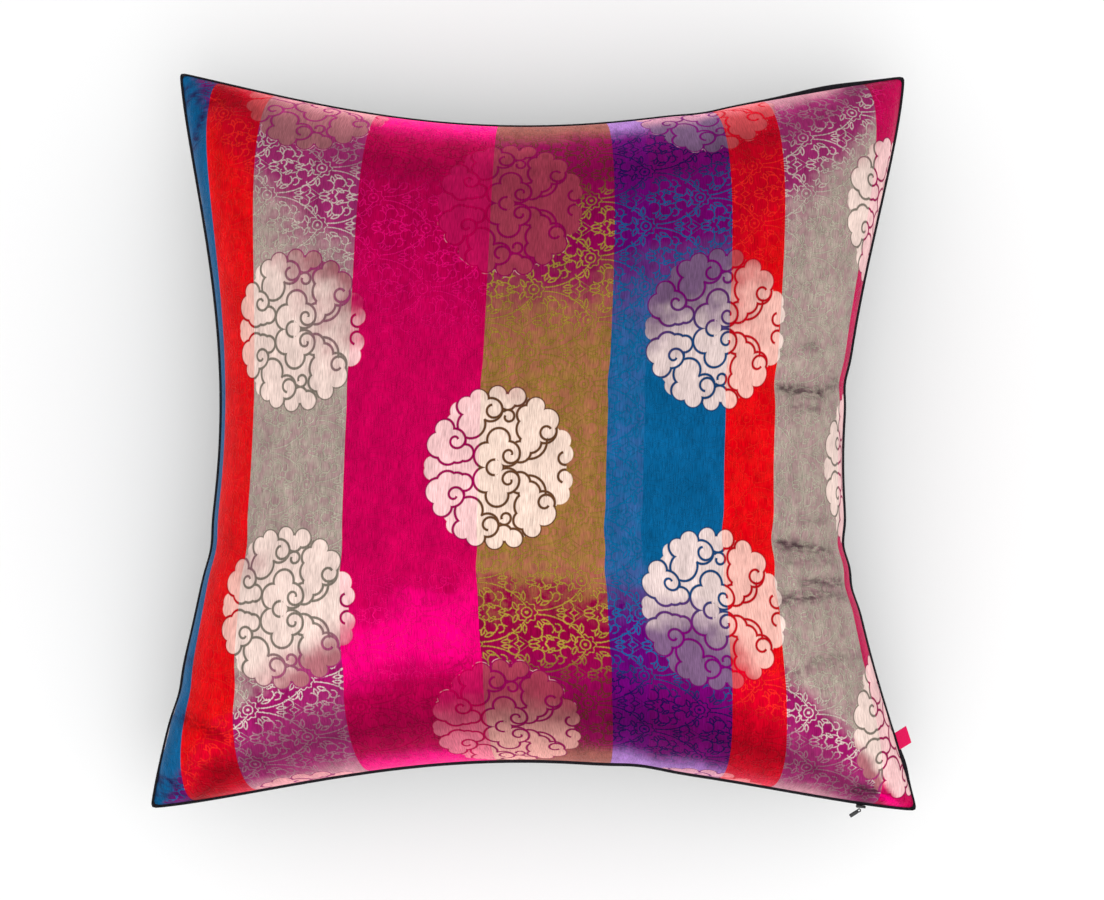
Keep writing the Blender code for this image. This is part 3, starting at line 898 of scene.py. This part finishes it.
def rim_light(tree, cloth, shape, along, lean, dulled):
    """A roundel's rim stands proud; towards the crown it catches light here and there on dull satin."""
    rim = off_line(tree, shape, RIM_PLACE)
    rim = add(tree, MATH, {0: rim, 1: -RIM_FADE, 2: 1.0}, operation="MULTIPLY_ADD", use_clamp=True)
    broken = add(tree, NOISE, {"Vector": cloth, "Scale": 1 / RIM_PATCH, "Detail": 1.0})
    broken = ranged(tree, broken, RIM_RANGE)
    slope = add(tree, MATH, {0: lean}, operation="SIGN")
    inner = add(tree, MATH, {0: along, 1: slope}, operation="MULTIPLY")
    inner = ranged(tree, inner, RIM_SIDE)
    return combined(tree, (rim, broken, inner, dulled), "MULTIPLY")


def cloth_states(tree, cloth, lean):
    """How far each state, the painted sheen and shade among them, has come, by how far the cloth leans; soft
    patches break the change's edge.
    """
    patches = add(tree, NOISE, {"Vector": cloth, "Scale": 1 / SHOT_PATCH, "Detail": 4.0, "Roughness": 0.62})
    inputs = {0: patches, 1: SHOT_STRENGTH, 2: -SHOT_STRENGTH / 2}
    patches = add(tree, MATH, inputs, operation="MULTIPLY_ADD")
    upward = add(tree, MATH, {0: lean, 1: patches}, operation="ADD")
    downward = add(tree, MATH, {0: patches, 1: lean}, operation="SUBTRACT")
    states = {}
    for state, (up, down) in STATES.items():
        up = ranged(tree, upward, up, "SMOOTHSTEP")
        down = ranged(tree, downward, down, "SMOOTHSTEP")
        states[state] = combined(tree, (up, down), "MAXIMUM")
    rise, fall = GLOW
    rise = ranged(tree, upward, rise, "SMOOTHSTEP")
    fall = ranged(tree, upward, fall[::-1], "SMOOTHSTEP")
    states["glow"] = combined(tree, (rise, fall), "MULTIPLY")
    return states


def fill_ramp(ramp, stops):
    """Set the stops, each a position and a colour, of a colour ramp that starts with two."""
    for number, (position, colour) in enumerate(stops):
        element = ramp.elements[number] if number < 2 else ramp.elements.new(position)
        element.position = position
        element.color = colour


def dyed_stripes(tree, x):
    """The colours across the cloth, one ramp for each row."""
    share = add(tree, MATH, {0: x, 1: CUT / MM}, operation="DIVIDE")
    rows = {}
    for row, codes in COLOURS.items():
        rows[row] = add(tree, RAMP, {0: share})
        rows[row].color_ramp.interpolation = "CONSTANT"
        stops = [(begin * MM / CUT, linear(codes[DYES.index(dye)])) for begin, dye in STRIPES]
        fill_ramp(rows[row].color_ramp, stops)
    return rows


def painted_satin_gloss(tree, lean):
    """Painted sheen and shade: how bright the satin is painted by its slope; kept at half in the ramp, so
    that it stays within it.
    """
    way = add(tree, MATH, {0: lean, 1: 0.5, 2: 0.5}, operation="MULTIPLY_ADD")
    painted_gloss = add(tree, RAMP, {0: way})
    fill_ramp(painted_gloss.color_ramp, [((at + 1) / 2, (level / 2, level / 2, level / 2, 1)) for at, level in PAINTED_GLOSS])
    return painted_gloss


def brocade():
    """Silk-type brocade: coloured warp stripes crossed by a magenta weft, which shows on the slopes, so
    the stripes turn purple towards the seams, in the weft's colour with a painted sheen; the satin's
    brightening and dulling with the slope, and the shade in its creases, are painted into its colour."""
    material, tree, shader = begin_material("striped silk brocade")
    cloth = flat_cloth(tree)
    parts = add(tree, PARTS, {0: cloth})
    x, y = parts.outputs["X"], parts.outputs["Y"]
    lean = add(tree, "ShaderNodeAttribute", {}, attribute_name="lean").outputs["Fac"]
    states = cloth_states(tree, cloth, lean)
    rows = dyed_stripes(tree, x)

    figure = ground_figure(tree, cloth, x, y)
    across, along = roundel_place(tree, x, y)
    shape, lines = roundel_drawing(tree, across, along)
    inside = woven(tree, shape)
    drawn = woven(tree, lines, ROUNDEL_LINE)
    rim = rim_light(tree, cloth, shape, along, lean, states["dulled"])

    # The slope's states blend in the weft's colour, the painted sheen and highlights, and the painted shade.
    blended = {}
    for name, state, start, end in BLENDS:
        inputs = {0: states[state], 6: rows[start] if start else blended[name], 7: rows[end]}
        blended[name] = add(tree, MIX, inputs, data_type="RGBA").outputs[2]
    # Where the cloth lies flat, the ground's and the figure's colours mingle in small patches.
    mottle = add(tree, NOISE, {"Vector": cloth, "Scale": 1 / MOTTLE_PATCH, "Detail": 4.0, "Roughness": 0.7})
    mottle = ranged(tree, mottle, MOTTLE_RANGE)
    flat = add(tree, MATH, {0: 1.0, 1: states["shot"]}, operation="SUBTRACT")
    mottle = combined(tree, (mottle, flat), "MULTIPLY")
    mingled = combined(tree, (figure, mottle), "MAXIMUM")
    lit_rim = add(tree, MIX, {0: RIM_CREAM, 6: rows["rose_sheen"], 7: rows["cream"]}, data_type="RGBA").outputs[2]
    layers = {0: mingled, 6: blended["ground"], 7: blended["figure"]}
    colour = add(tree, MIX, layers, data_type="RGBA").outputs[2]
    roundel = add(tree, MIX, {0: drawn, 6: blended["cream"], 7: blended["ink"]}, data_type="RGBA").outputs[2]
    colour = add(tree, MIX, {0: inside, 6: colour, 7: roundel}, data_type="RGBA").outputs[2]
    colour = add(tree, MIX, {0: rim, 6: colour, 7: lit_rim}, data_type="RGBA").outputs[2]

    # Creases: painted shade darkens the colour down in them, in short patches, less so on a roundel.
    crease_shade = add(tree, "ShaderNodeAttribute", {}, attribute_name="crease_shade").outputs["Fac"]
    crease_shade_patches = ranged(tree, streaked(tree, cloth, CREASE_SHADE_PATCH, 3.0), CREASE_SHADE_PATCH_RANGE)
    spared = add(tree, MATH, {0: inside, 1: -ROUNDEL_SPARED, 2: 1.0}, operation="MULTIPLY_ADD")
    crease_shade = combined(tree, (crease_shade, crease_shade_patches, spared), "MULTIPLY")
    colour = add(tree, MIX, {0: crease_shade, 6: colour, 7: rows["creased"]}, data_type="RGBA").outputs[2]

    # Threads are fine streaks down the cloth, and a painted sheen lies in longer soft patches; the painted
    # sheen and shade of each slope brighten and darken it further.
    threads = streaked(tree, cloth, THREAD, 2.0)
    sheen = streaked(tree, cloth, SHEEN, 3.0)
    tones = (ranged(tree, threads, THREAD_RANGE), ranged(tree, sheen, SHEEN_RANGE), painted_satin_gloss(tree, lean))
    tone = combined(tree, (*tones, BRIGHTNESS), "MULTIPLY")
    colour = add(tree, VECTOR, {0: colour, "Scale": tone}, operation="SCALE")

    # Relief: the figure and the roundels stand a little above the ground, the roundels' lines below.
    relief = add(tree, MATH, {0: drawn, 1: -1.0, 2: 1.0}, operation="MULTIPLY_ADD")
    relief = add(tree, MIX, {0: inside, 2: figure, 3: relief}).outputs[0]
    relief = add(tree, MATH, {0: threads, 1: 0.5, 2: relief}, operation="MULTIPLY_ADD")
    bump = add(tree, BUMP, {"Strength": 1.0, "Distance": 0.3 * MM, "Height": relief})
    inputs = {"Base Color": colour, "Specular Tint": colour, "Normal": bump}
    feed(tree, shader, {**inputs, "Roughness": 0.42, "Specular IOR Level": 0.03})
    return material


def black_cotton():
    """Black cotton in a plain weave: a fine even grain that takes no shine, with a little lint."""
    material, tree, shader = begin_material("black cotton")
    cloth = flat_cloth(tree)
    warp, weft = (bands(tree, cloth, WEAVE_SPACING, axis) for axis in "XY")
    weave = add(tree, MATH, {0: warp, 1: weft}, operation="MULTIPLY")
    lint = add(tree, NOISE, {"Vector": cloth, "Scale": 1 / LINT_SIZE, "Detail": 4.0})
    shade = ranged(tree, lint, (0.45, 0.75))
    colour = add(tree, MIX, {0: shade, 6: linear("131116"), 7: linear("2b2830")}, data_type="RGBA").outputs[2]
    height = add(tree, MATH, {0: lint, 1: 0.6, 2: weave}, operation="MULTIPLY_ADD")
    bump = add(tree, BUMP, {"Strength": 1.0, "Distance": 0.12 * MM, "Height": height})
    feed(tree, shader, {"Base Color": colour, "Normal": bump, "Roughness": 0.9, "Specular IOR Level": 0.15})
    return material


def satin_tape():
    """Crimson satin tape: ribs across it break its shine into a soft silky band."""
    material, tree, shader = begin_material("crimson satin tape")
    place = piece_place(tree)
    ribs = bands(tree, place, RIB_SPACING, "X", distortion=0.6)
    wear = add(tree, NOISE, {"Vector": place, "Scale": 1 / TAPE_WEAR, "Detail": 3.0})
    colour = add(tree, MIX, {0: wear, 6: linear("cc0044"), 7: linear("ec0464")}, data_type="RGBA").outputs[2]
    bump = add(tree, BUMP, {"Strength": 1.0, "Distance": 0.06 * MM, "Height": ribs})
    feed(tree, shader, {"Base Color": colour, "Normal": bump, "Roughness": 0.5, "Specular IOR Level": 0.15})
    return material


def black_enamel():
    """Black enamel on zip metal: glossy, with a faint unevenness where the coat is handled."""
    material, tree, shader = begin_material("black zip enamel")
    wear = add(tree, NOISE, {"Vector": piece_place(tree), "Scale": 1 / ENAMEL_WEAR, "Detail": 4.0})
    dulled = ranged(tree, wear, (0.35, 0.7, 0.25, 0.5))
    bump = add(tree, BUMP, {"Strength": 1.0, "Distance": 0.03 * MM, "Height": wear})
    feed(tree, shader, {"Base Color": linear("141416"), "Roughness": dulled, "Normal": bump})
    return material


def pale_paint():
    """Matt pale studio paint: an even white that takes a soft shadow and no reflection."""
    material, tree, shader = begin_material("pale studio floor")
    feed(tree, shader, {"Base Color": linear("fafafa"), "Roughness": 0.9})
    return material


def studio():
    """A plain pale floor, one large softbox and a pale room."""
    bpy.ops.mesh.primitive_plane_add(size=FLOOR_SIZE)
    floor = bpy.context.object
    floor.name = "floor"
    floor.data.materials.append(pale_paint())
    world = bpy.data.worlds.new("pale room")
    bpy.context.scene.world = world
    world.use_nodes = True
    world.node_tree.nodes["Background"].inputs["Color"].default_value = (*[ROOM_LIGHT] * 3, 1)
    softbox = bpy.data.lights.new("softbox", "AREA")
    softbox.size = SOFTBOX_SIZE
    softbox.energy = SOFTBOX_POWER
    lamp = bpy.data.objects.new("softbox", softbox)
    bpy.context.scene.collection.objects.link(lamp)
    lamp.location = SOFTBOX_PLACE
    lamp.rotation_euler = Vector(SOFTBOX_PLACE).to_track_quat("Z", "Y").to_euler()


def photo_camera():
    """The camera at the photograph's angle, its picture's side edges along the cushion's."""
    view = bpy.data.cameras.new("camera")
    view.lens = CAMERA_LENS
    view.shift_x, view.shift_y = CAMERA_SHIFT
    camera = bpy.data.objects.new("camera", view)
    bpy.context.scene.collection.objects.link(camera)
    bpy.context.scene.camera = camera
    level = math.cos(CAMERA_ELEVATION)
    x, y = math.sin(CAMERA_AZIMUTH) * level, -math.cos(CAMERA_AZIMUTH) * level
    away = Vector((x, y, math.sin(CAMERA_ELEVATION)))
    across = Vector((0, 1, 0)).cross(away).normalized()
    camera.location = CAMERA_TARGET + away * CAMERA_DISTANCE
    camera.rotation_euler = Matrix((across, away.cross(across), away)).transposed().to_euler()


bpy.context.tool_settings.mesh_select_mode = (False, True, False)
face = cut_panel("brocade_face", face_form)
fill_out(face)
filling = filling_under(face)
finish_face(face)
back = black_back(filling)
for panel in (face, back):
    select_only(panel)
    bpy.ops.object.shade_smooth()
label = folded_label()
zip_end = seam_spot("bottom", SLIDER_PLACE)
slider = zip_slider(*zip_end)
pull = zip_pull(*zip_end)

enamel = black_enamel()
finishes = (
    (face, "front_panel", "brocade", brocade()),
    (back, "filled_cushion", "back_cloth", black_cotton()),
    (label, "side_label", "label_tape", satin_tape()),
    (slider, "zip_slider", "zip_enamel", enamel),
    (pull, "zip_pull", "zip_enamel", enamel),
)
for piece, node, slot, finish in finishes:
    piece.data.materials.clear()
    piece.data.materials.append(finish)
    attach(piece, "root")
    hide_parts(node)

studio()
photo_camera()
bpy.context.scene.view_settings.view_transform = "Standard"
